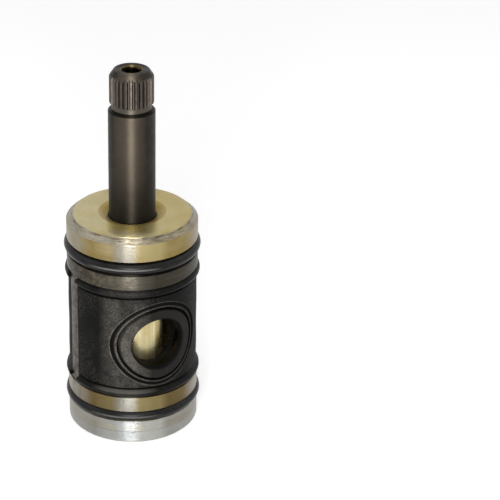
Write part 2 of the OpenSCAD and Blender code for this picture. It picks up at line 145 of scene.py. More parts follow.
def finer(outline, chosen, pitch):
    """The outline with the stretches that chosen(r, z) picks divided into steps of about pitch."""
    out = []
    for here, there in zip(outline, outline[1:] + outline[:1]):
        out.append(here)
        middle, length = (here + there) / 2, np.linalg.norm(there - here)
        if chosen(*middle) and length > pitch:
            parts = ceil(length / pitch)
            out += [here + (there - here) * k / parts for k in range(1, parts)]
    return out


def even_angles(steps):
    return np.arange(steps) * TURN / steps


def patch(grid, round_rows=False, round_columns=False):
    """Points and faces of a grid of points, whose rows or columns may close on themselves."""
    rows, columns = grid.shape[:2]
    i, j = np.meshgrid(
        np.arange(rows - (not round_columns)), np.arange(columns - (not round_rows)), indexing="ij"
    )
    i, j = i.ravel(), j.ravel()
    below, beside = (i + 1) % rows, (j + 1) % columns
    faces = np.stack(
        [i * columns + j, i * columns + beside, below * columns + beside, below * columns + j], 1
    )
    return grid.reshape(-1, 3), faces


@contextlib.contextmanager
def opened(mesh):
    """Opens a mesh for work on its points and faces, and writes them back."""
    shell = bmesh.new()
    shell.from_mesh(mesh)
    yield shell
    shell.to_mesh(mesh)
    shell.free()


def new_object(name, data):
    thing = bpy.data.objects.new(name, data)
    bpy.context.scene.collection.objects.link(thing)
    return thing


def plain_piece(name, points=np.zeros((0, 3)), faces=()):
    """An object whose mesh has these points, given in millimetres, and faces."""
    mesh = bpy.data.meshes.new(name)
    mesh.from_pydata((points * MM).tolist(), [], faces)
    return new_object(name, mesh)


def make_piece(name, *patches):
    """One closed mesh from patches given in millimetres, welded where they meet, faces outwards."""
    points, faces, start = [], [], 0
    for some_points, some_faces in patches:
        points.append(some_points)
        faces += (np.asarray(some_faces) + start).tolist()
        start += len(some_points)
    piece = plain_piece(name, np.concatenate(points), faces)
    with opened(piece.data) as shell:
        bmesh.ops.remove_doubles(shell, verts=shell.verts, dist=WELD)
        bmesh.ops.dissolve_degenerate(shell, edges=shell.edges, dist=TINY)
        loose = [edge for edge in shell.edges if not edge.link_faces]
        bmesh.ops.delete(shell, geom=loose, context="EDGES")
        bmesh.ops.recalc_face_normals(shell, faces=shell.faces)
    return piece


def turned(name, outline, angles=even_angles(192), wear=None):
    """The closed outline turned about the Z axis. wear(r, z, angle) gives worn r and z."""
    r, z = (np.array(outline)[:, k][:, None] + 0 * angles[None, :] for k in (0, 1))
    a = angles[None, :] + 0 * r
    if wear:
        r, z = wear(r, z, a)
    grid = np.stack([r * np.cos(a), r * np.sin(a), z], 2)
    return make_piece(name, patch(grid, round_rows=True, round_columns=True))


def prism(name, outline, low, high, angle=0):
    """A flat (x, y) outline raised from low to high and turned by angle degrees."""
    c, s = cos(radians(angle)), sin(radians(angle))
    flat = np.array(outline, float) @ np.array([[c, s], [-s, c]])
    n = len(flat)
    points = np.concatenate([np.c_[flat, np.full(n, z)] for z in (low, high)])
    piece = make_piece(name, (points, [[k, (k + 1) % n, n + (k + 1) % n, n + k] for k in range(n)]))
    with opened(piece.data) as shell:
        bmesh.ops.holes_fill(shell, edges=shell.edges, sides=0)
        bmesh.ops.recalc_face_normals(shell, faces=shell.faces)
    return piece


def box(name, half_x, y, z, angle=0, corner=0.0):
    """A box half_x to either side, between the pairs y and z, with its upright corners rounded, turned."""
    return prism(name, oblong((-half_x, half_x), y, 4 * [corner]), *z, angle)


def upright_bar(name, radius, low, high, x=0.0, steps=96, top_radius=None):
    """An upright round bar or cone, as a tool."""
    a = even_angles(steps)
    rings = [(radius, low), (radius if top_radius is None else top_radius, high)]
    grid = np.array([[(x + r * cos(t), r * sin(t), z) for t in a] for r, z in rings])
    points, faces = patch(grid, round_rows=True)
    bar = plain_piece(name, points, faces.tolist() + [list(range(steps)), list(range(steps, 2 * steps))])
    with opened(bar.data) as shell:
        bmesh.ops.recalc_face_normals(shell, faces=shell.faces)
    return bar


def moved(piece, place):
    """Moves each point of a piece to place(x, y, z)."""
    for v in piece.data.vertices:
        v.co = place(*v.co)
    return piece


def bar_through_ports(name, radius, reach):
    """A round bar along the Y axis at the ports' height, as a tool."""
    return moved(upright_bar(name, radius, -reach, reach), lambda x, y, z: (x, -z, y + PORT_Z * MM))


def settled(piece):
    """Makes what a piece's modifiers give its plain mesh, and takes them off."""
    made = bpy.data.meshes.new_from_object(piece.evaluated_get(bpy.context.evaluated_depsgraph_get()))
    piece.modifiers.clear()
    piece.data = made
    return piece


def combined(piece, operation, *tools):
    """The piece with the tools' shapes cut from it, added to it or kept in common. The tools go."""
    for tool in tools:
        work = piece.modifiers.new("shape", "BOOLEAN")
        work.operation, work.solver, work.object = operation, "EXACT", tool
    with opened(settled(piece).data) as shell:
        bmesh.ops.remove_doubles(shell, verts=shell.verts, dist=TINY)
    for tool in tools:
        bpy.data.objects.remove(tool)
    return piece


def finished(piece, body, node, material, smooth_under=32):
    """Gives a piece its shading, material and place among the frame's bodies."""
    mesh = piece.data
    mesh.shade_smooth()
    mesh.set_sharp_from_angle(angle=radians(smooth_under))
    mesh.materials.clear()
    mesh.materials.append(material)
    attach(piece, body)
    if node:
        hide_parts(node)
    return piece


# Node trees

class Net:
    """A node tree with one short call for each node."""

    def __init__(self, tree):
        self.tree = tree

    def add(self, kind, *inputs, **settings):
        """A new node. Inputs fill its sockets in order. A setting with a capital is a socket by name."""
        node = self.tree.nodes.new(kind if "Node" in kind else "ShaderNode" + kind)
        sockets = {name: value for name, value in settings.items() if name[0].isupper()}
        for name, value in settings.items():
            if name not in sockets:
                setattr(node, name, value)
        for socket, value in zip(node.inputs, inputs):
            self.feed(socket, value)
        self.feed_named(node.inputs, **sockets)
        return node

    def feed(self, socket, value):
        if value is None:
            return
        if isinstance(value, bpy.types.Node):
            value = value.outputs[0]
        if isinstance(value, bpy.types.NodeSocket):
            self.tree.links.new(value, socket)
        else:
            socket.default_value = value

    def feed_named(self, sockets, **values):
        for name, value in values.items():
            self.feed(sockets[name.replace("_", " ")], value)

    def math(self, operation, *inputs, **settings):
        return self.add("Math", *inputs, operation=operation, **settings)

    def times(self, *values):
        """The product of shares, which is 1 where all of them are."""
        return reduce(partial(self.math, "MULTIPLY"), values)

    def plus(self, *values):
        return reduce(partial(self.math, "ADD"), values)

    def most(self, *values):
        return reduce(partial(self.math, "MAXIMUM"), values)

    def less(self, value, whole=1.0):
        """What the value leaves of the whole."""
        return self.math("SUBTRACT", whole, value)

    def span(self, value, low, high, to_low=0.0, to_high=1.0):
        """The value's place between low and high, as a number from to_low to to_high."""
        return self.add("MapRange", value, low, high, to_low, to_high)

    def between(self, value, low, high, soft):
        """1 where the value lies between low and high, 0 outside, with soft ends."""
        return self.times(self.span(value, low - soft, low), self.span(value, high, high + soft, 1.0, 0.0))

    def length(self, *parts):
        return self.add("VectorMath", self.add("CombineXYZ", *parts), operation="LENGTH").outputs["Value"]

    def noise(self, where, scale, detail=2.0, rough=0.5, w=None):
        node = self.add(
            "TexNoise", noise_dimensions="3D" if w is None else "4D",
            Vector=where, Scale=scale, Detail=detail, Roughness=rough,
        )
        if w is not None:
            self.feed(node.inputs["W"], w)
        return node

    def mix(self, share, *colours):
        """The first colour where share is 0, the second where it is 1. A colour is a socket or (r, g, b)."""
        node = self.add("Mix", data_type="RGBA")
        self.feed(node.inputs[0], share)
        for socket, colour in zip((node.inputs[6], node.inputs[7]), colours):
            self.feed(socket, (*colour, 1) if isinstance(colour, tuple) else colour)
        return node.outputs[2]

    def bump(self, height, distance, strength=1.0, normal=None):
        return self.add("Bump", Height=height, Distance=distance * MM, Strength=strength, Normal=normal)


def lathe_coordinates():
    """A node group: radius, height and round-the-axis coordinates of a point, in millimetres."""
    tree = bpy.data.node_groups.new("lathe_coordinates", "ShaderNodeTree")
    net = Net(tree)
    place = net.add("TexCoord").outputs["Object"]
    point = net.add("VectorMath", place, operation="SCALE", Scale=1000.0)
    x, y, z = net.add("SeparateXYZ", point).outputs
    radius = net.length(x, y)
    safe = net.math("MAXIMUM", radius, 0.01)
    cosine, sine = net.math("DIVIDE", x, safe), net.math("DIVIDE", y, safe)
    # The direction round the axis, along which a lathe tool leaves its marks
    way = net.add("CombineXYZ", net.times(sine, -1.0), cosine, 0.0)
    world_way = net.add(
        "VectorTransform", way, vector_type="VECTOR", convert_from="OBJECT", convert_to="WORLD"
    )
    coordinates = (
        ("Point", "Vector", point), ("Radius", "Float", radius), ("Height", "Float", z),
        ("Section", "Vector", net.add("CombineXYZ", radius, z, net.times(cosine, 0.9))),
        ("Around", "Float", net.times(sine, 0.9)), ("Round", "Vector", world_way),
        # 1 on the lit side, the front left, where highlights are painted, and -1 opposite to it
        ("Lit Side", "Float", net.less(net.times(sine, 0.848), net.times(cosine, -0.53))),
    )
    for name, kind, _ in coordinates:
        tree.interface.new_socket(name, in_out="OUTPUT", socket_type="NodeSocket" + kind)
    out = net.add("NodeGroupOutput")
    for name, _, value in coordinates:
        net.feed(out.inputs[name], value)
    return tree


LATHE_COORDINATES = lathe_coordinates()


class Finish(Net):
    """A surface finish: a material whose shader is fed by the nodes that are added to it."""

    def __init__(self, name, anisotropic=0.0, **fixed):
        self.material = bpy.data.materials.new(name)
        self.material.use_nodes = True
        super().__init__(self.material.node_tree)
        self.shader = self.tree.nodes["Principled BSDF"].inputs
        at = self.add("Group", node_tree=LATHE_COORDINATES).outputs
        # side is 1 on the lit front left, where highlights are painted, and -1 opposite to it
        self.point, self.radius, self.height, self.section, self.around, tangent, self.side = at
        if anisotropic:
            fixed.update(Anisotropic=anisotropic, Anisotropic_Rotation=0.25, Tangent=tangent)
        self.feed_named(self.shader, **fixed)

    def axes(self):
        return self.add("SeparateXYZ", self.point).outputs

    def from_port(self, x, z):
        """Distance of a point from the ports' axis."""
        return self.length(x, 0.0, self.math("SUBTRACT", z, PORT_Z))

    def cloud(self, scale, detail=2.0, rough=0.5):
        return self.noise(self.point, scale, detail, rough)

    def marks(self, scale, detail=3.0):
        """Fine rings left by a lathe tool."""
        return self.noise(self.section, scale, detail, 0.6, w=self.around)

    def stretched(self, stretch, turn):
        return self.add("Mapping", self.point, Scale=stretch, Rotation=turn)

    def scratches(self, scale, width, stretch):
        """Thin lines where a stretched noise passes its middle value."""
        cloud = self.noise(self.stretched(stretch, (0.4, 0.25, 0.8)), scale, 1.0)
        return self.span(self.math("ABSOLUTE", self.math("SUBTRACT", cloud, 0.5)), 0.0, width, 1.0, 0.0)

    def paint(self, colour, *shares):
        """Lays a colour over the tone so far, by the product of the shares."""
        self.tone = self.mix(self.times(*shares), self.tone, colour)

    def done(self, roughness, normal):
        self.feed_named(self.shader, Base_Color=self.tone, Roughness=roughness, Normal=normal)
        return self.material


def body_brass():
    """Machined yellow brass: turning rings, handling scratches, a battered top bevel and tarnish on a land,
    with painted highlights, reflections and shade.
    """
    f = Finish("body_brass", 1.0, Metallic=1.0)
    radius, height, side = f.radius, f.height, f.side
    x, _, z = f.axes()
    cloud = f.cloud(0.22, 3.0)
    clouds = f.span(cloud, 0.35, 0.65)
    streaks = f.marks(1.6, 4.0)
    # A paler highlight is painted down the walls' lit front left side, broken by the turning streaks
    painted_highlight = f.times(f.span(side, 0.88, 0.97), f.span(streaks, 0.3, 0.6, 0.6, 1.0))
    f.tone = f.mix(clouds, (0.26, 0.195, 0.070), (0.31, 0.245, 0.105))
    f.paint((0.40, 0.325, 0.175), painted_highlight)
    # The top face is painted paler than the walls, for the light it catches from above, and paler on the left
    # than on the right; a deeper gold is painted in front of the stem as its reflection, and in the dish
    # round it as shade in the recess
    top = f.span(height, BODY_LEN - 0.4, BODY_LEN - 0.1)
    paler = f.mix(clouds, (0.43, 0.365, 0.17), (0.50, 0.435, 0.25))
    warmer = f.mix(clouds, (0.40, 0.32, 0.115), (0.45, 0.37, 0.16))
    f.paint(f.mix(f.span(x, -7.0, 9.0), paler, warmer), top)
    f.paint((0.55, 0.42, 0.12), top, f.span(side, 0.80, 0.95), f.span(radius, 11.0, 9.0), 0.7)
    # The upper collar is a deeper gold towards its lower edge
    f.paint((0.25, 0.175, 0.045), f.between(height, UPPER_COLLAR, 45.6, 0.9), 0.5)
    dish = f.between(radius, 0.0, DISH_R + 0.1, 0.15)
    f.paint((0.29, 0.20, 0.045), dish, f.span(height, DISH_LOW - 0.3, DISH_LOW - 0.1), 0.75)
    # The land under the upper O-ring is tarnished, with a painted highlight on its lit side; the ribs are
    # painted a mottled dark brown; the lower land is painted paler grey towards the back as a reflection and
    # darker gold towards the lit side as shade, under a painted highlight
    land = f.between(height, POCKET_HIGH, UPPER_GROOVE + 0.2, 0.1)
    tarnish_and_highlight = f.mix(painted_highlight, (0.036, 0.034, 0.029), (0.080, 0.076, 0.065))
    f.paint(tarnish_and_highlight, land, f.span(streaks, 0.3, 0.7, 1.0, 0.9))
    spots = f.span(f.cloud(0.9, 5.0, 0.7), 0.46, 0.66)
    f.paint((0.16, 0.125, 0.09), land, f.span(x, -4.0, -10.0), spots, 0.8)
    rib_mottle = f.span(f.cloud(0.8, 4.0, 0.65), 0.38, 0.62)
    f.paint(f.mix(rib_mottle, (0.040, 0.033, 0.027), (0.145, 0.120, 0.098)),
            f.between(height, POCKET_LOW, POCKET_HIGH, 0.02), f.span(radius, RIB_R - 0.3, RIB_R - 0.2))
    lower = f.between(height, LOWER_LAND, POCKET_LOW, 0.05)
    painted_light_bands = f.mix(f.span(side, 0.2, 0.55), (0.26, 0.225, 0.17), (0.135, 0.096, 0.038))
    f.paint(f.mix(f.times(painted_highlight, 0.6), painted_light_bands, (0.24, 0.20, 0.095)), lower)
    # The base face is grey, and the lowest collar is painted silver as a reflection of the white
    # surroundings, paler on its lit side as a painted highlight, with a gold band
    f.paint(f.mix(clouds, (0.13, 0.125, 0.10), (0.21, 0.20, 0.165)),
            f.span(height, 0.04, 0.02), f.span(radius, RING_R - 0.2, RING_R - 0.1), 0.8)
    foot = f.times(f.span(height, LOWER_GROOVE, LOWER_GROOVE - 0.1), f.span(radius, 13.4, 14.0))
    silver = f.mix(painted_highlight, f.mix(clouds, (0.25, 0.248, 0.23), (0.31, 0.31, 0.30)), (0.38, 0.385, 0.37))
    golden = f.times(f.between(height, 3.3, 4.2, 0.7), f.span(streaks, 0.3, 0.7, 0.15, 0.65))
    silver = f.mix(golden, silver, f.mix(painted_highlight, (0.22, 0.175, 0.09), (0.40, 0.35, 0.22)))
    f.paint(silver, foot, 0.95)
    # The walls carry a painted highlight at the front, painted grey reflections at both sides, and a neutral
    # grey painted into a narrow band where the highlight falls
    wall = f.times(f.span(radius, BODY_R - 0.3, BODY_R - 0.1), f.less(land))
    pale = f.mix(foot, (0.46, 0.385, 0.18), (0.46, 0.46, 0.43))
    f.paint(pale, wall, f.between(x, -3.2, 0.0, 2.0), f.less(f.times(lower, 0.4), 0.7))
    flanks = f.most(f.span(x, -12.8, -14.2), f.span(x, 6.5, 10.5))
    f.paint((0.32, 0.31, 0.28), wall, flanks, f.span(f.cloud(0.5, 3.0), 0.3, 0.6, 0.5, 1.0), 0.65)
    band = f.mix(foot, (0.24, 0.24, 0.225), (0.33, 0.345, 0.35))
    f.paint(band, wall, f.between(x, -8.4, -6.0, 1.6), 0.75)
    # The bevel is scratched grey with pale and dark flecks, painted paler towards both sides as a reflection,
    # under a broken dark line
    bevel = f.times(f.span(height, BEVEL_LOW - 0.05, BEVEL_LOW + 0.1),
                    f.span(radius, BEVEL_TOP_R - 0.1, BEVEL_TOP_R + 0.15))
    flecks = f.noise(f.stretched((0.4, 0.4, 2.6), (0.25, 0.2, 0)), 1.3, 5.0, 0.7)
    sides = f.span(f.math("ABSOLUTE", x), 6.0, 12.0)
    dark = f.mix(sides, (0.15, 0.125, 0.085), (0.26, 0.25, 0.23))
    light = f.mix(sides, (0.31, 0.285, 0.235), (0.40, 0.38, 0.34))
    scraped = f.mix(f.span(flecks, 0.38, 0.60), dark, light)
    f.paint(scraped, bevel, f.span(streaks, 0.36, 0.6, 0.95, 0.6))
    broken = f.span(flecks, 0.40, 0.56, 0.85, 0.15)
    line = f.between(radius, BEVEL_TOP_R + 0.18, BEVEL_TOP_R + 0.36, 0.1)
    f.paint((0.085, 0.062, 0.034), bevel, line, broken)
    # Painted shade darkens the ports' walls and the chamber to near black
    port = f.times(f.span(f.from_port(x, z), PORT_R + 0.3, PORT_R + 0.1),
                   f.between(radius, CHAMBER_R - 0.08, POCKET_FLOOR_R - 0.08, 0.1))
    chamber = f.times(f.span(radius, CHAMBER_R + 0.17, CHAMBER_R + 0.07),
                      f.between(height, RING_SEAT + 0.18, CEILING, 0.1))
    f.paint((0.005, 0.004, 0.003), f.most(port, chamber), 0.98)
    # One fine line is turned round the lowest collar
    line = f.between(height, 2.86, 2.94, 0.05)
    f.paint((0.10, 0.09, 0.07), line, 0.45)
    scratches = f.times(f.scratches(0.7, 0.02, (1.0, 1.0, 5.0)), f.less(f.times(top, 0.75)))
    normal = f.bump(scratches, -0.03, 0.8, f.bump(f.marks(9.0, 2.0), 0.02))
    rough = f.math("SUBTRACT", f.span(cloud, 0.3, 0.7, 0.33, 0.40), f.times(top, 0.08))
    return f.done(rough, f.bump(line, -0.05, normal=normal))


def stem_bronze():
    """Dark satin bronze, rubbed bright on the crests of the spline and round the screw hole, with painted
    highlights and painted shade.
    """
    f = Finish("stem_bronze", 0.9, Metallic=1.0)
    radius, height = f.radius, f.height
    f.tone = f.mix(f.span(f.cloud(0.3, 3.0), 0.3, 0.7), (0.030, 0.027, 0.023), (0.044, 0.038, 0.031))
    # A painted highlight runs down the shank's lit side, fading downwards, and painted shade darkens the
    # shank towards its foot
    f.paint((0.096, 0.079, 0.060), f.span(f.side, 0.70, 0.97), f.span(height, 52.0, 66.0, 0.1, 1.0))
    f.paint((0.014, 0.012, 0.009), f.span(height, 60.0, 50.0, 0.0, 0.5))
    # The spline is painted lighter all over, as light that lifts the shade in its gaps, and its crests are
    # rubbed bright
    spline = f.between(height, SPLINE_LOW - 0.3, STEM_TOP - 1.1, 0.2)
    f.paint((0.082, 0.071, 0.061), spline)
    patchy = f.span(f.cloud(0.9, 3.0), 0.4, 0.65, 0.35, 1.0)
    f.paint((0.155, 0.122, 0.100), spline, f.span(radius, SPLINE_R - 0.16, SPLINE_R - 0.01), patchy)
    # A painted glint lightens the relief under the spline
    relief = f.between(height, SHOULDER + 0.35, SPLINE_LOW + 0.1, 0.1)
    f.paint((0.12, 0.108, 0.085), relief, 0.9)
    # Painted shade fills the crevice above the shank and paints the screw hole black under its bright mouth
    f.paint((0.008, 0.007, 0.006), f.between(height, SHOULDER - 0.3, SHOULDER + 0.2, 0.1), 0.9)
    hole = f.span(radius, THREAD_ROOT_R + 0.25, THREAD_ROOT_R + 0.15)
    hole_floor = STEM_TOP - SCREW_DEPTH
    f.paint((0.004, 0.0035, 0.003), hole, f.span(height, hole_floor - 0.4, hole_floor - 0.1))
    f.paint((0.20, 0.15, 0.06), hole, f.span(height, STEM_TOP - 0.5, STEM_TOP - 0.3), 0.7)
    return f.done(f.span(f.cloud(0.8, 4.0), 0.3, 0.7, 0.50, 0.58), f.bump(f.marks(7.0, 2.0), 0.015))


def rotor_brass():
    """Pale brass, ground fine, with soft bands that change only with the direction round the axis."""
    f = Finish("rotor_brass", 0.6, Metallic=1.0)
    bands = f.span(f.noise(f.add("CombineXYZ", f.side), 14.0), 0.38, 0.62)
    clouds = f.times(f.span(f.cloud(0.4, 3.0), 0.35, 0.65), 0.25)
    f.tone = f.mix(f.math("MULTIPLY_ADD", bands, 0.75, clouds), (0.40, 0.30, 0.10), (0.66, 0.60, 0.38))
    return f.done(f.span(f.cloud(0.5), 0.3, 0.7, 0.26, 0.32), f.bump(f.marks(8.0, 2.0), 0.0005))


def ring_brass():
    """Warm yellow brass with coarse turning rings."""
    f = Finish("ring_brass", 0.6, Metallic=1.0)
    rings = f.marks(5.0, 2.0)
    f.tone = f.mix(f.span(rings, 0.3, 0.7), (0.50, 0.36, 0.115), (0.66, 0.52, 0.23))
    normal = f.bump(f.scratches(0.6, 0.02, (1, 4, 1)), -0.01, 0.5, f.bump(rings, 0.02))
    return f.done(f.span(f.cloud(1.1, 3.0), 0.3, 0.7, 0.26, 0.40), normal)


def plain_steel(name, light, dark, rough):
    """Steel with fine drawing marks."""
    f = Finish(name, Metallic=1.0)
    marks = f.marks(6.0)
    f.tone = f.mix(f.span(marks, 0.3, 0.7), dark, light)
    return f.done(f.span(f.cloud(1.5, 3.0), 0.3, 0.7, rough, rough + 0.12), f.bump(marks, 0.004))


def saddle_rubber():
    """Matte moulded rubber with the print of cloth, dark beads and pale dust in the grain, with painted
    highlights on its lit side and painted shade keeping its grooves and opening black.
    """
    f = Finish("saddle_rubber", Specular_IOR_Level=0.07)
    side, (x, _, z) = f.side, f.axes()
    # Threads of the cloth print run round the body and upwards, on the sheet between the beads
    weave = f.times(*(f.math("SINE", f.times(way, 15.0)) for way in (z, x)))
    grain = f.cloud(3.2, 4.0, 0.65)
    sheet = f.between(z, BEAD_LOW + 1.35, POCKET_LOW + POCKET_HIGH - BEAD_LOW - 1.35, 0.1)
    bead = f.less(sheet)
    # A painted highlight lies on the lit side, strongest on the lip of the opening; the lip also carries pale
    # dust all round, and the ridges round it are paler, partly dust and partly a painted highlight on the lit
    # side
    ring = f.from_port(x, z)
    lip = f.between(ring, MOUTH_EDGE_R + 0.1, LIP_R - 0.1, 0.08)
    ridges = f.plus(f.between(ring, DEEP_GROOVE_R + 0.08, RIDGE_R - 0.1, 0.06),
                    f.between(ring, RINGS_R, 10.2, 0.05))
    dust_and_highlight = f.times(f.span(side, 0.91, 0.985), f.span(f.cloud(0.35, 3.0), 0.3, 0.6, 0.35, 1.0),
                   f.math("MULTIPLY_ADD", lip, 0.22, 0.63))
    dust_and_highlight = f.plus(dust_and_highlight, f.times(lip, 0.12), f.times(ridges, f.span(side, 0.3, 0.95, 0.1, 0.5)))
    patches = f.span(f.cloud(0.16, 3.0), 0.42, 0.62)
    specks = f.span(f.cloud(3.6, 3.0, 0.75), 0.53, 0.68)
    speckle = f.times(specks, f.math("MULTIPLY_ADD", f.most(patches, dust_and_highlight), 0.48, 0.10))
    smear = f.most(f.span(grain, 0.34, 0.60, 0.15, 1.0), f.times(lip, 0.55))
    dust_and_highlight = f.most(f.times(dust_and_highlight, smear), speckle)
    # Painted shade keeps the grooves, the opening and the creases beside the beads black, and the beads are
    # dark
    groove = f.plus(f.between(ring, LIP_R + 0.03, DEEP_GROOVE_R, 0.03),
                    f.between(ring, RIDGE_R + 0.05, 9.9, 0.05))
    hole = f.span(ring, MOUTH_EDGE_R + 0.02, MOUTH_EDGE_R - 0.02)
    from_middle = f.math("ABSOLUTE", f.math("SUBTRACT", z, (POCKET_LOW + POCKET_HIGH) / 2))
    black = f.most(groove, hole, f.between(from_middle, 10.82, 11.3, 0.06))
    dust_and_highlight = f.times(dust_and_highlight, f.less(f.times(bead, 0.55)), f.less(f.times(black, 0.93)))
    f.tone = f.mix(dust_and_highlight, (0.0025, 0.0025, 0.0024), (0.13, 0.12, 0.104))
    # Painted highlights lie along the beads' shoulders on the lit side
    f.paint((0.36, 0.335, 0.30), f.between(z, 35.95, 36.3, 0.12), f.span(side, 0.5, 0.97, 0.15, 0.75))
    f.paint((0.13, 0.12, 0.105), f.between(z, 12.9, 13.2, 0.2), f.span(side, 0.86, 0.99, 0.0, 0.5))
    print_height = f.plus(f.times(weave, sheet, 0.22), grain)
    return f.done(f.less(f.times(bead, 0.34), 0.62), f.bump(print_height, 0.12))


def oring_rubber():
    """Greased black rubber, half gloss, with a painted highlight line round its lit side and specks of dust.
    """
    f = Finish("oring_rubber", Specular_IOR_Level=0.15)
    f.tone = f.mix(f.span(f.cloud(0.5, 4.0), 0.35, 0.65), (0.004, 0.004, 0.004), (0.008, 0.008, 0.0075))
    # A painted highlight line runs round each ring near its outer edge, on the lit side
    upper, lower = f.between(f.height, 42.85, 43.0, 0.2), f.between(f.height, 6.75, 6.9, 0.2)
    f.paint((0.16, 0.155, 0.145), f.most(upper, f.times(lower, 0.7)), f.span(f.side, 0.84, 0.99))
    f.paint((0.10, 0.095, 0.08), f.span(f.cloud(6.0, 1.0), 0.7, 0.78), 0.5)
    return f.done(f.span(f.cloud(1.2, 4.0), 0.3, 0.7, 0.24, 0.34), f.bump(f.cloud(2.5, 3.0), 0.01))


def seat_rubber():
    f = Finish("seat_rubber", Specular_IOR_Level=0.08)
    grain = f.cloud(4.0, 3.0)
    f.tone = f.mix(grain, (0.003, 0.003, 0.003), (0.006, 0.006, 0.0055))
    return f.done(f.span(grain, 0.3, 0.7, 0.55, 0.7), f.bump(grain, 0.02))


def washer_plastic():
    f = Finish("washer_plastic", Specular_IOR_Level=0.4)
    cloud = f.cloud(0.8, 3.0)
    f.tone = f.mix(cloud, (0.74, 0.72, 0.66), (0.84, 0.83, 0.79))
    return f.done(f.span(cloud, 0.3, 0.7, 0.35, 0.5), f.bump(f.marks(4.0), 0.006))


# Geometry Nodes trees

def rule_tree(name, sizes):
    """A Geometry Nodes tree with named number inputs, as its net and the inputs to build it with."""
    tree = bpy.data.node_groups.new(name, "GeometryNodeTree")
    kinds = {label: "Int" if isinstance(value, int) else "Float" for label, value in sizes.items()}
    for label, kind in {"Geometry": "Geometry", **kinds, "Material": "Material"}.items():
        tree.interface.new_socket(label, in_out="INPUT", socket_type="NodeSocket" + kind)
    tree.interface.new_socket("Geometry", in_out="OUTPUT", socket_type="NodeSocketGeometry")
    net = Net(tree)
    return net, net.add("NodeGroupInput").outputs


def ended(net, given, geometry):
    """Ends a tree in Realize Instances and Set Material."""
    real = net.add("GeometryNodeRealizeInstances", geometry)
    painted = net.add("GeometryNodeSetMaterial", Geometry=real, Material=given["Material"])
    net.feed(net.add("NodeGroupOutput").inputs[0], painted)
    return net.tree


def grown(piece, rule, sizes, material):
    """Runs a Geometry Nodes tree on a piece and keeps its result as the piece's plain mesh."""
    tree = rule(sizes)
    work = piece.modifiers.new(tree.name, "NODES")
    work.node_group = tree
    values = {**sizes, "Material": material}
    for item in tree.interface.items_tree:
        if item.in_out == "INPUT" and item.name in values:
            work[item.identifier] = values[item.name]
    piece.update_tag()
    return settled(piece)


def position(net):
    return net.add("SeparateXYZ", net.add("GeometryNodeInputPosition")).outputs


def swept(net, path, section, **settings):
    """The section drawn along the path, kept upright."""
    upright = net.add("GeometryNodeSetCurveNormal", path, mode="Z_UP")
    return net.add("GeometryNodeCurveToMesh", upright, section, **settings)


def spline_rule(sizes):
    """Presses the gaps between the teeth into the turned top of the stem."""
    net, given = rule_tree("spline_teeth", sizes)
    x, y, z = position(net)
    radius = net.length(x, y)
    turn = net.math("DIVIDE", net.math("ARCTAN2", y, x), TURN)
    count = net.plus(net.times(turn, given["Teeth"]), 0.5)
    off = net.math("ABSOLUTE", net.math("SUBTRACT", net.math("FRACT", count), 0.5))
    crest, foot = (net.times(given[share], 0.5) for share in ("Crest Share", "Foot Share"))
    tooth = net.span(off, crest, foot, given["Tip Radius"], given["Root Radius"])
    share = net.math("DIVIDE", net.math("MINIMUM", radius, tooth), net.most(radius, 1e-6))
    place = net.add("CombineXYZ", net.times(x, share), net.times(y, share), z)
    chosen = net.add(
        "FunctionNodeCompare", z, given["Lower End"], data_type="FLOAT", operation="GREATER_THAN"
    )
    return ended(net, given, net.add(
        "GeometryNodeSetPosition", Geometry=given["Geometry"], Selection=chosen, Position=place
    ))


def thread_rule(sizes):
    """A thread ridge that winds down the wall of a screw hole."""
    net, given = rule_tree("screw_thread", sizes)
    turns = net.math("DIVIDE", given["Depth"], given["Pitch"])
    path = net.add(
        "GeometryNodeCurveSpiral", Resolution=32, Rotations=turns, Start_Radius=given["Root Radius"],
        End_Radius=given["Root Radius"], Height=given["Depth"],
    )
    bottom = net.add("CombineXYZ", 0.0, 0.0, given["Bottom"])
    lifted = net.add("GeometryNodeTransform", Geometry=path, Translation=bottom)
    ridge = net.add(
        "GeometryNodeCurvePrimitiveCircle", mode="RADIUS", Resolution=6, Radius=given["Ridge Radius"]
    )
    return ended(net, given, swept(net, lifted, ridge, Fill_Caps=True))


def wave_rule(sizes):
    """A flat strip bent into a ring that waves up and down."""
    net, given = rule_tree("wave_strip", sizes)
    ring = net.add(
        "GeometryNodeCurvePrimitiveCircle", mode="RADIUS", Resolution=240, Radius=given["Middle Radius"]
    )
    x, y, _ = position(net)
    turn = net.times(net.math("ARCTAN2", y, x), given["Waves"])
    rise = net.math("MULTIPLY_ADD", net.math("COSINE", turn), given["Wave Height"], given["Middle Height"])
    rise = net.add("CombineXYZ", 0.0, 0.0, rise)
    waved = net.add("GeometryNodeSetPosition", Geometry=ring, Offset=rise)
    strip = net.add("GeometryNodeCurvePrimitiveQuadrilateral", mode="RECTANGLE", Width=given["Strip Width"],
                    Height=given["Strip Thickness"])
    return ended(net, given, swept(net, waved, strip))


# Pieces

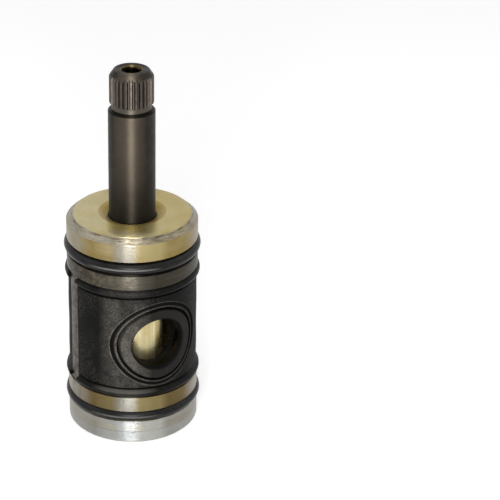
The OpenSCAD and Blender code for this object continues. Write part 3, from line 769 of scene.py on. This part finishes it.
def battered_bevel(r, z, a):
    """Dents and gouges in the bevel round the top face."""
    draw = np.random.default_rng(31).uniform
    depth = np.zeros_like(r)
    along = np.hypot(r - BODY_R, z - BEVEL_LOW)
    on_bevel = np.clip((z - BEVEL_LOW + 0.05) / 0.1, 0, 1) * np.clip((r - BEVEL_TOP_R + 0.1) / 0.15, 0, 1)
    for _ in range(DENTS):
        middle, place = draw(0, TURN), draw(0.1, 1.9)
        length, width = draw(0.03, 0.16), draw(0.05, 0.16)
        slope, gouge = draw(-2.5, 2.5), draw(0.015, 0.06)
        off = (a - middle + pi) % TURN - pi
        across = ((along - place) - slope * off) / width
        depth += gouge * np.exp(-(off / length) ** 4) * np.exp(-across ** 2)
    depth += 0.02 * (1 + np.sin(5 * a + 1)) * (1 + np.sin(13 * a)) / 2
    depth *= on_bevel
    return r - 0.6 * depth, z - 0.8 * depth


def pocket_tool(side):
    """The space of one saddle pocket: a curved block with rounded corners at the ribs."""
    across = oblong((POCKET_FLOOR_R, BODY_R + 1), (POCKET_LOW - 1, POCKET_HIGH + 1), 4 * [0])
    wall = turned("wall", across, even_angles(256))
    outline = oblong((-side * FAR, -side * RIB_HALF), (POCKET_LOW, POCKET_HIGH),
                     (0, POCKET_CORNER, POCKET_CORNER, 0), 8)
    block = moved(prism("block", outline, -FAR, FAR), lambda y, z, x: (x, y, z))
    return combined(wall, "INTERSECT", block)


def stake_tools():
    """Two cones that press the staked places into the joint of body and retainer ring."""
    return [upright_bar("stake", STAKE_R, STAKE_LOW, STAKE_TOP, side * STAKE_X, 32, STAKE_TIP_R)
            for side in (1, -1)]


def make_body(material):
    outline = finer(rounded([
        (RING_HOLE_R, 0, .06), (BASE_R, 0, .12), (BODY_R, FOOT_BEVEL, .3),
        *groove(BODY_R, LOWER_FLOOR_R, LOWER_GROOVE, LOWER_LAND),
        *groove(BODY_R, RIB_R, POCKET_LOW, POCKET_HIGH, floor_edge=0),
        *groove(BODY_R, UPPER_FLOOR_R, UPPER_GROOVE, UPPER_COLLAR),
        (BODY_R, BEVEL_LOW, .25), (BEVEL_TOP_R, BEVEL_TOP, .3),
        (RIM_R, BODY_LEN, 2), (DISH_R, BODY_LEN, .3), (NECK_R, DISH_LOW, .06), (NECK_R, CEILING, 0),
        (CHAMBER_R, CEILING, 0), (CHAMBER_R, RING_SEAT, 0), (RING_HOLE_R, RING_SEAT, 0),
    ]), lambda r, z: r > BEVEL_TOP_R - 0.2 and z > BEVEL_LOW - 0.1, 0.12)
    body = turned("body_shell", outline, even_angles(384), battered_bevel)
    recess = combined(
        bar_through_ports("recess", SEAT_R + FIT, 15), "INTERSECT",
        upright_bar("reach", SEAT_OUTER_R + FIT, 5, 45, steps=192),
    )
    pin_hole = upright_bar("pin_hole", PIN_R, CEILING - 1, PIN_TOP, PIN_X, 32)
    combined(body, "DIFFERENCE", pocket_tool(1), pocket_tool(-1),
             bar_through_ports("port", PORT_R, FAR), recess, pin_hole)
    combined(body, "DIFFERENCE", *stake_tools())
    return finished(body, "housing", "body", material)


def tooth_angles():
    """Angles round the stem with points at the crests, flanks and feet of every tooth."""
    crest, foot, soft = CREST_SHARE / 2, FOOT_SHARE / 2, 0.03
    stops = [-0.5, -foot, -(foot + crest) / 2, -crest, -crest + soft, 0, crest - soft, crest,
             (foot + crest) / 2, foot]
    return np.array([(k + s) * TURN / TEETH for k in range(TEETH) for s in stops])


def make_stem(material):
    lower, upper = (
        groove(JOURNAL_R, STEM_GROOVE_R, seal - STEM_GROOVE_HALF, seal + STEM_GROOVE_HALF, .05, .1)
        for seal in (LOWER_STEM_SEAL, UPPER_STEM_SEAL)
    )
    outline = finer(rounded([
        (0, STEM_LOW, 0), (JOURNAL_R, STEM_LOW, 0), *lower, *upper,
        (JOURNAL_R, JOURNAL_TOP, .1), (SHANK_R, JOURNAL_TOP + 0.2, .05),
        (SHANK_R, SHOULDER - 0.4, .15), (SHANK_R - 0.4, SHOULDER, .1), (RELIEF_R, SHOULDER, .08),
        (RELIEF_R, SPLINE_LOW, .05), (SPLINE_R, SPLINE_LOW + 0.32, .12),
        (SPLINE_R, STEM_TOP - 1.4, .8), (CROWN_R, STEM_TOP, .4),
        (SCREW_R + 0.45, STEM_TOP, .06), (THREAD_ROOT_R, STEM_TOP - 0.2, .03),
        (THREAD_ROOT_R, STEM_TOP - SCREW_DEPTH, 0), (0, STEM_TOP - SCREW_DEPTH - 0.9, 0),
    ]), lambda r, z: r > CROWN_R + 0.25 and z > SPLINE_LOW, 0.25)
    stem = turned("stem_with_spline", outline, tooth_angles())
    grown(stem, spline_rule, {
        "Teeth": TEETH, "Crest Share": CREST_SHARE, "Foot Share": FOOT_SHARE,
        "Tip Radius": SPLINE_R * MM, "Root Radius": ROOT_R * MM, "Lower End": (SPLINE_LOW - 0.05) * MM,
    }, material)
    half = radians(STOP_ANGLE / 2)
    hub = [
        (r * cos(t), r * sin(t))
        for r, angles in ((STOP_R, np.linspace(-half, half, 60)), (HUB_R, np.linspace(half, TURN - half, 80)))
        for t in angles
    ]
    tongue = box("tongue", TONGUE_HALF_W, (-TONGUE_HALF_LEN, TONGUE_HALF_LEN), (TONGUE_LOW, HUB_LOW + FIT),
                 REST_ANGLE, TONGUE_CORNER)
    combined(stem, "UNION", prism("hub", hub, HUB_LOW, HUB_TOP, REST_ANGLE), tongue)
    return finished(stem, "plug", "stem", material, 30)


def make_screw_thread(material):
    piece = grown(plain_piece("screw_thread"), thread_rule, {
        "Pitch": 1.06 * MM, "Depth": 10.6 * MM, "Bottom": 71.7 * MM,
        "Root Radius": (THREAD_ROOT_R + FIT) * MM, "Ridge Radius": 0.38 * MM,
    }, material)
    return finished(piece, "plug", None, material)


def make_rotor(material):
    rotor = turned("rotor_half_shell", rounded([
        (ROTOR_FOOT_R, ROTOR_LOW, .15), (ROTOR_R, ROTOR_LOW, .25), (ROTOR_R, ROTOR_TOP, .25),
        (0, ROTOR_TOP, 0), (0, WINDOW_TOP, 0), (ROTOR_INNER_R, WINDOW_TOP, .4),
        (ROTOR_INNER_R, ROTOR_FOOT_TOP, .1), (ROTOR_FOOT_R, ROTOR_FOOT_TOP, .1),
    ]))
    window = box("window", FAR, (0, FAR), (WINDOW_LOW, WINDOW_TOP), REST_ANGLE + 90)
    half_len = TONGUE_HALF_LEN + TONGUE_GAP
    slot = box("slot", TONGUE_HALF_W + TONGUE_GAP, (-half_len, half_len),
               (TONGUE_LOW - TONGUE_GAP, ROTOR_TOP + 1), REST_ANGLE, TONGUE_CORNER)
    combined(rotor, "DIFFERENCE", window, slot)
    return finished(rotor, "plug", "rotor", material)


def make_retainer_ring(material):
    outline = oblong((RING_BORE_R, RING_R), (RING_LOW, RING_TOP), (.35, .3, .1, .1))
    ring = turned("retainer_ring_turned", outline, even_angles(256))
    slot = box("slot", SLOT_HALF_LEN, (-SLOT_HALF_W, SLOT_HALF_W), (RING_LOW - 1, RING_LOW + SLOT_DEPTH),
               SLOT_ANGLE)
    combined(ring, "DIFFERENCE", slot, *stake_tools())
    return finished(ring, "housing", "retainer_ring", material)


def arc(centre_r, centre_z, radius, start, stop, steps):
    """(height, radius) places on an arc between two angles in degrees."""
    t = np.radians(np.linspace(start, stop, steps))
    return [(centre_z - radius * cos(u), centre_r + radius * sin(u)) for u in t]


def eased(edge=SADDLE_EDGE):
    """Steps over a rounded edge as (distance in from the edge, drop below the surface)."""
    t = np.linspace(0, pi / 2, 5)
    return [(edge * (1 - cos(u)), edge * (1 - sin(u))) for u in t]


def bead_rows():
    """(height, radius) rows from a saddle's lower edge over the bead and its groove to the plain sheet."""
    low, groove_end, floor = POCKET_LOW + FIT, BEAD_LOW + BEAD_R + BEAD_GROOVE_W, BEAD_GROOVE_FLOOR
    return [
        (low, SADDLE_BACK_R), (low, 13.5), *((low + d, SADDLE_R - drop) for d, drop in eased()),
        *arc(BEAD_CENTRE_R, BEAD_LOW, BEAD_R, 12, 114, 16),
        (groove_end - 0.38, floor), (groove_end - 0.2, floor),
        (groove_end - 0.06, floor + 0.05), (groove_end, floor + 0.2),
        *((groove_end + d, SADDLE_R - drop) for d, drop in eased(0.1)),
    ]


def ring_profile():
    """(distance from the port's axis, radius) from the saddle's back, over its rings, to the plain sheet."""
    lip_top = SADDLE_R + LIP_PROUD

    def edge(at, way, top, size=SADDLE_EDGE):
        """The rounded edge of a surface that lies outwards of it (way 1) or inwards (way -1)."""
        return [(at + way * d, top - drop) for d, drop in eased(size)[::way]]

    return [
        (MOUTH_R, SADDLE_BACK_R), (MOUTH_R, 13.2), (MOUTH_R, 13.7),
        (MOUTH_EDGE_R - 0.12, lip_top - 0.12), (MOUTH_EDGE_R, lip_top - 0.03),
        (6.7, lip_top), (7.5, lip_top), *edge(LIP_R, -1, lip_top, 0.16),
        (LIP_R, 13.3), (LIP_R + 0.06, DEEP_GROOVE_FLOOR + 0.04), (8.5, DEEP_GROOVE_FLOOR),
        (DEEP_GROOVE_R - 0.06, DEEP_GROOVE_FLOOR + 0.04), (DEEP_GROOVE_R, 13.3),
        *edge(DEEP_GROOVE_R, 1, SADDLE_R), *edge(RIDGE_R, -1, SADDLE_R),
        (9.45, OUTER_GROOVE_FLOOR + 0.12), (9.65, OUTER_GROOVE_FLOOR), (9.86, OUTER_GROOVE_FLOOR),
        (9.93, OUTER_GROOVE_FLOOR + 0.08), *edge(RINGS_R, 1, SADDLE_R, 0.06),
    ]


def ripple(x, z):
    """Gentle unevenness of the moulded sheet."""
    return 0.018 * (np.sin(0.9 * x + 0.5 * z) + np.sin(0.7 * z - 1.1 * x + 2.0) - 2)


def make_saddle(name, side, node, material):
    """A rubber sheet bent round the body, with rings round its port and beads along its edges."""
    steps = 160
    phi = even_angles(steps)
    square = SQUARE_HALF / np.maximum(np.abs(np.cos(phi)), np.abs(np.sin(phi)))

    def polar(rho, r):
        """A ring of points at the distance rho from the port's axis, bent to the radius r."""
        x, z = rho * np.cos(phi), PORT_Z + rho * np.sin(phi)
        r = r + 0 * phi
        r = r + np.where(r > SADDLE_BACK_R + 0.01, ripple(x, z), 0)
        return np.stack([x, -np.sqrt(r * r - x * x), z], -1)

    profile = ring_profile()
    rings = [polar(rho, r) for rho, r in profile]
    outer = profile[-1][0]
    rings += [polar(outer + (square - outer) * t, SADDLE_R) for t in (0.5, 1.0)]
    back = [polar(rho, SADDLE_BACK_R) for rho in (MOUTH_R, 8.0, outer, square)]

    # Columns of the outer sheet: x on the plain surface, and how far the end's rounding lowers it
    side_steps = SQUARE_HALF * np.tan(np.radians(np.linspace(-45, 45, steps // 4 + 1)))
    centre = [(x, 0.0) for x in side_steps]
    start, end = asin(SQUARE_HALF / SADDLE_R), acos((RIB_HALF + FIT) / SADDLE_R)
    wing = [(SADDLE_R * sin(t), 0.0) for t in np.linspace(start, end, 16)[1:-1]]
    edge = [(sqrt(SADDLE_R ** 2 - (RIB_HALF + FIT + d) ** 2), drop) for d, drop in eased()[::-1]]
    edge += [(edge[-1][0], None)]
    left = [(-x, drop) for x, drop in (wing + edge)[::-1]]
    columns = left + centre + wing + edge
    inner = (len(left), len(left) + len(centre) - 1)

    # Rows of the outer sheet: height and radius
    low_rows = bead_rows()
    middle_rows = [(PORT_Z + z, SADDLE_R) for z in side_steps]
    high_rows = [(POCKET_LOW + POCKET_HIGH - z, r) for z, r in low_rows[::-1]]
    rows = low_rows + middle_rows + high_rows
    core = (len(low_rows), len(low_rows) + len(middle_rows) - 1)

    def sheet(on_back):
        """The whole outer or inner surface, which follows the pocket's walls and rounded corners."""
        grid = np.zeros((len(rows), len(columns), 3))
        for j, (z_row, r_row) in enumerate(rows):
            for i, (x0, drop) in enumerate(columns):
                y0 = -sqrt(SADDLE_R ** 2 - x0 * x0)
                if on_back or drop is None or j in (0, len(rows) - 1):
                    r = SADDLE_BACK_R
                else:
                    r = max(r_row - drop, SADDLE_BACK_R) + float(ripple(x0, z_row))
                follow = min(max((-y0 - 3) / 2, 0), 1)
                y = y0 * (1 + (r / SADDLE_R - 1) * follow)
                if core[0] <= j <= core[1] and inner[0] <= i <= inner[1]:
                    y = -sqrt(r * r - x0 * x0)
                x = copysign(sqrt(max(r * r - y * y, 0)), x0)
                inset = max(POCKET_CORNER - (-y - RIB_HALF - FIT), 0)
                trim = POCKET_CORNER - sqrt(max(POCKET_CORNER ** 2 - inset ** 2, 0))
                low, high = POCKET_LOW + FIT + trim, POCKET_HIGH - FIT - trim
                grid[j, i] = (x, y, min(max(z_row, low), high))
        return grid

    def without_core(grid):
        """The sheet's patch without the square that the rings fill."""
        points, faces = patch(grid)
        j, i = faces[:, 0] // len(columns), faces[:, 0] % len(columns)
        inside = (j >= core[0]) & (j < core[1]) & (i >= inner[0]) & (i < inner[1])
        return points, faces[~inside]

    patches = [patch(np.array(half), round_rows=True) for half in (rings, back)]
    patches += [without_core(sheet(on_back)) for on_back in (False, True)]
    if side < 0:
        patches = [(points * np.array((-1, -1, 1)), faces) for points, faces in patches]
    return finished(make_piece(name, *patches), "housing", node, material, 50)


def make_seat(name, side, node, material):
    """A rubber ring round a port, flush with the chamber's wall."""
    phi = even_angles(128)
    rows = []
    for rho, r in oblong((PORT_R, SEAT_R), (CHAMBER_R, SEAT_OUTER_R), (.15, .05, .15, .15)):
        x, z = rho * np.cos(phi), PORT_Z + rho * np.sin(phi)
        rows.append(np.stack([side * x, -side * np.sqrt(r * r - x * x), z], -1))
    seat = make_piece(name, patch(np.array(rows), round_rows=True, round_columns=True))
    return finished(seat, "housing", node, material)


def make_oring(name, cord_r, ring_r, height, body, node, material):
    """An O-ring with the faint parting line of its mould, seated with a little room."""
    outline = []
    for t in even_angles(48):
        parting = 0.02 * exp(-(sin(t) / 0.06) ** 2)
        radius = cord_r - FIT + parting
        outline.append((ring_r + radius * cos(t), height + radius * sin(t)))
    ring = turned(name, outline, even_angles(256))
    return finished(ring, body, node, material, 60)


def make_washer(name, r_in, r_out, low, high, node, material):
    washer = turned(name, oblong((r_in, r_out), (low, high), 4 * [WASHER_EDGE]))
    return finished(washer, "housing", node, material)


def make_stop_pin(material):
    outline = oblong((0, PIN_R), (PIN_LOW, PIN_TOP), (0, .2, .2, 0))
    pin = turned("stop_pin_ground", outline, even_angles(48))
    moved(pin, lambda x, y, z: (x + PIN_X * MM, y, z))
    return finished(pin, "housing", "stop_pin", material)


def make_wave_spring(material):
    piece = grown(plain_piece("wave_spring_strip"), wave_rule, {
        "Middle Radius": 8.015 * MM, "Middle Height": 5.6 * MM, "Wave Height": 1.0 * MM, "Waves": 3,
        "Strip Width": 1.8 * MM, "Strip Thickness": 0.4 * MM,
    }, material)
    return finished(piece, "housing", "wave_spring", material)


# Studio

WHITE = (1, 1, 1, 1)


def turned_by(angle, first, second):
    """Two square directions turned in their plane, the first towards the second."""
    c, s = cos(angle), sin(angle)
    return first * c + second * s, second * c - first * s


def make_camera():
    """The photograph's view: from the front left, looking down, the cartridge left of the middle."""
    aside, pitch, swing, roll = (radians(angle) for angle in (24.5, 26.577, 3.134, -0.292))
    back, height = 0.420, 0.2505
    level = Vector((sin(aside), cos(aside), 0))
    right = Vector((cos(aside), -sin(aside), 0))
    ahead = level * cos(pitch) - Vector((0, 0, sin(pitch)))
    ahead, right = turned_by(swing, ahead, right)
    right, up = turned_by(roll, right, right.cross(ahead))
    data = bpy.data.cameras.new("camera")
    data.sensor_width, data.lens = 36, 154.65
    data.clip_start, data.clip_end = 0.01, 20
    camera = new_object("camera", data)
    placed = Matrix((right, up, -ahead)).transposed().to_4x4()
    placed.translation = (-back * level.x, -back * level.y, height)
    camera.matrix_world = placed
    bpy.context.scene.camera = camera


def make_lamp(name, azimuth, elevation, width, height, power):
    """A soft lamp at a bearing seen from the cartridge, facing it. Azimuth 0 is in front, 90 on the right."""
    a, e = radians(azimuth), radians(elevation)
    away = Vector((sin(a) * cos(e), -cos(a) * cos(e), sin(e)))
    distance, aim = 0.80, Vector((0, 0, 0.04))
    data = bpy.data.lights.new(name, "AREA")
    data.shape, data.size, data.size_y, data.energy = "RECTANGLE", width, height, power
    lamp = new_object(name, data)
    lamp.location = away * distance + aim
    lamp.rotation_euler = (-away).to_track_quat("-Z", "Y").to_euler()


def seen_directly(net):
    """1 for what the camera sees, directly or in metal and glass, and 0 for the light on the object."""
    path = net.add("LightPath").outputs
    either = net.plus(path["Is Camera Ray"], path["Is Glossy Ray"])
    return net.math("ADD", either, path["Is Transmission Ray"], use_clamp=True)


def cleared(holder):
    """The empty net of a world's or a material's own nodes."""
    holder.use_nodes = True
    holder.node_tree.nodes.clear()
    return Net(holder.node_tree)


def make_world():
    world = bpy.context.scene.world = bpy.data.worlds.new("studio")
    net = cleared(world)
    soft, white = (net.add("Background", WHITE, strength) for strength in (0.28, 1.0))
    net.feed(net.add("OutputWorld").inputs[0], net.add("MixShader", seen_directly(net), soft, white))


def make_floor():
    """A plain pale floor that keeps the shadow, and that isn't there from below."""
    half, drop = 1500, -0.05
    corners = np.array([(x * half, y * half, drop) for x, y in ((-1, -1), (1, -1), (1, 1), (-1, 1))])
    floor = plain_piece("floor", corners, [(0, 1, 2, 3)])
    material = bpy.data.materials.new("floor")
    net = cleared(material)
    direct = seen_directly(net)
    paper = net.add("BsdfDiffuse", (0.86, 0.86, 0.86, 1))
    glow = net.add("Emission", WHITE, net.times(direct, 0.43))
    # Far from the cartridge the floor melts into the white background
    place = net.add("TexCoord").outputs["Object"]
    distance = net.add("VectorMath", place, operation="LENGTH").outputs["Value"]
    far = net.times(direct, net.span(distance, 0.35, 0.9))
    lit = net.add("MixShader", far, net.add("AddShader", paper, glow), net.add("Emission", WHITE, 1.0))
    under = net.add("NewGeometry").outputs["Backfacing"]
    shown = net.add("MixShader", under, lit, net.add("BsdfTransparent"))
    net.feed(net.add("OutputMaterial").inputs[0], shown)
    floor.data.materials.append(material)


def make_studio():
    make_world()
    make_floor()
    for lamp in (
        ("front lamp", -28, 18, 0.28, 0.36, 5.4), ("top lamp", -28, 65, 0.5, 0.5, 1.8),
        ("left lamp", -110, 35, 0.5, 0.6, 0.6), ("right lamp", 75, 35, 0.5, 0.6, 0.6),
    ):
        make_lamp(*lamp)
    bpy.context.scene.view_settings.view_transform = "Standard"


def make_cartridge():
    rubber, greased = saddle_rubber(), oring_rubber()
    seat, plastic, dark_bronze = seat_rubber(), washer_plastic(), stem_bronze()
    make_body(body_brass())
    make_stem(dark_bronze)
    make_screw_thread(dark_bronze)
    make_rotor(rotor_brass())
    make_retainer_ring(ring_brass())
    make_stop_pin(plain_steel("pin_steel", (0.66, 0.66, 0.66), (0.52, 0.52, 0.52), 0.2))
    make_wave_spring(plain_steel("spring_steel", (0.58, 0.57, 0.55), (0.44, 0.44, 0.43), 0.28))
    for end, side in (("front", 1), ("rear", -1)):
        make_saddle(end + "_saddle_seal", side, end + "_port_saddle", rubber)
    for end, side in (("front", 1), ("rear", -1)):
        make_seat(end + "_seat_ring", side, end + "_port_seat", seat)
    make_oring("upper_body_seal", *UPPER_SEAL, "housing", "upper_body_oring", greased)
    make_oring("lower_body_seal", *LOWER_SEAL, "housing", "lower_body_oring", greased)
    for end, height in (("upper", UPPER_STEM_SEAL), ("lower", LOWER_STEM_SEAL)):
        make_oring(end + "_stem_seal", STEM_CORD_R, STEM_RING_R, height, "plug", end + "_stem_oring", greased)
    make_washer("stem_washer", NECK_R, HUB_R, CEILING - STEM_WASHER, CEILING, "stem_thrust_washer", plastic)
    make_washer("rotor_washer", ROTOR_FOOT_R, ROTOR_R, ROTOR_WASHER_LOW, ROTOR_WASHER_TOP,
                "rotor_thrust_washer", plastic)


make_camera()
make_studio()
make_cartridge()
